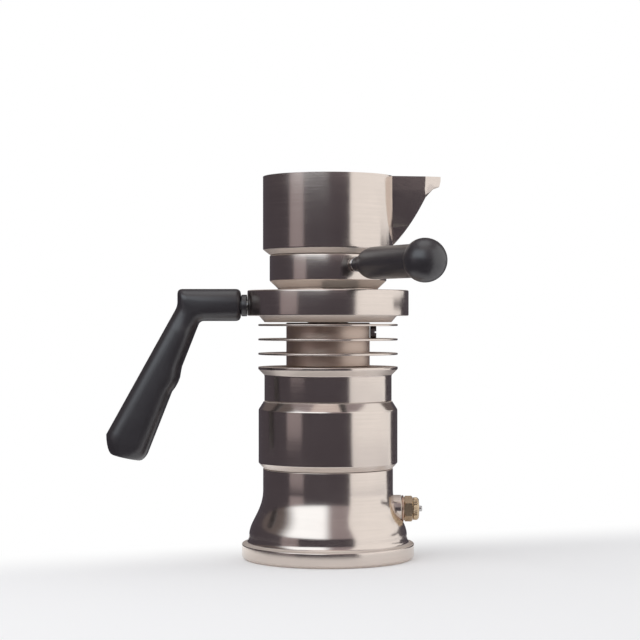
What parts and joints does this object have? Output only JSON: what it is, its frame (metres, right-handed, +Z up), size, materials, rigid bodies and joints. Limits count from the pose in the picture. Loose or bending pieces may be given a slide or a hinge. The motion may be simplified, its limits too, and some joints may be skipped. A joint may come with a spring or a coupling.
{
  "type": "stovetop espresso maker",
  "caption": "Stovetop espresso maker: bell-shaped pressure boiler, screwed-on upper boiler with a finned neck, bayonet portafilter, lift-off jug with a spout, black handles.",
  "frame": {"origin": "centre of the sole, on the plane that the maker stands on", "axes": "+Z up along the boilers' axis, the main handle points to -X and the jug's spout to +X"},
  "size_m": [0.2002, 0.1663, 0.2283],
  "materials": {
    "satin_nickel": "satin-polished turned metal with a slight warm tint",
    "warm_metal": "polished metal with a copper-brown tint",
    "valve_brass": "machined brass",
    "plain_steel": "plain machined stainless steel",
    "seal_rubber": "moulded silicone",
    "black_nylon": "black moulded plastic, half gloss"
  },
  "bodies": {
    "lower": {"lower_boiler": "satin_nickel", "relief_valve_washer": "warm_metal", "relief_valve_body": "valve_brass", "relief_valve_cap": "valve_brass", "relief_spring": "plain_steel"},
    "relief_piston": {"relief_plunger": "plain_steel"},
    "seal_ring": {"boiler_gasket": "seal_rubber"},
    "upper": {"boiler_union": "satin_nickel", "outlet_valve_body": "valve_brass", "outlet_valve_cap": "valve_brass", "outlet_spring": "plain_steel", "suction_tube": "plain_steel", "cooling_coil": "warm_metal", "upper_boiler": "satin_nickel", "chamber_seal": "seal_rubber", "heat_sink_core": "warm_metal", "fin_1": "satin_nickel", "fin_2": "satin_nickel", "fin_3": "satin_nickel", "vent_plug": "plain_steel", "group_head": "satin_nickel", "group_gasket": "seal_rubber", "dispersion_screen": "plain_steel", "main_handle": "black_nylon", "handle_stud": "plain_steel", "handle_collar": "black_nylon"},
    "outlet_piston": {"outlet_poppet": "plain_steel"},
    "filter_holder": {"portafilter": "satin_nickel", "basket": "plain_steel", "basket_clip": "plain_steel", "outlet_nipple": "plain_steel", "nipple_seal": "seal_rubber", "lever_stud": "plain_steel", "lever_collar": "plain_steel", "portafilter_handle": "black_nylon"},
    "pouring_jug": {"jug": "satin_nickel", "jug_column": "plain_steel"}
  },
  "joints": [
    {"name": "union_lift", "type": "slide", "parent": "lower", "child": "seal_ring", "axis": [0, 0, 1], "range_m": [0, 0.0091]},
    {"name": "union_turn", "type": "hinge", "parent": "seal_ring", "child": "upper", "pos_m": [0, 0, 0.064], "axis": [0, 0, 1], "range_deg": [0, 810]},
    {"name": "portafilter_turn", "type": "hinge", "parent": "upper", "child": "filter_holder", "pos_m": [0, 0, 0.1531], "axis": [0, 0, 1], "range_deg": [0, 45]},
    {"name": "jug_lift", "type": "slide", "parent": "filter_holder", "child": "pouring_jug", "axis": [0, 0, 1], "range_m": [0, 0.04]},
    {"name": "relief_stroke", "type": "slide", "parent": "lower", "child": "relief_piston", "axis": [1, 0, 0], "range_m": [0, 0.0012], "stiffness_N_per_m": 600, "springref_m": -0.006, "deforming": ["relief_spring"]},
    {"name": "outlet_lift", "type": "slide", "parent": "upper", "child": "outlet_piston", "axis": [0, 0, 1], "range_m": [0, 0.0015], "stiffness_N_per_m": 600, "springref_m": -0.006, "deforming": ["outlet_spring"]}
  ],
  "couplings": [
    {"joint": "union_lift", "follows": "union_turn", "m_per_rad": 0.00063662}
  ]
}
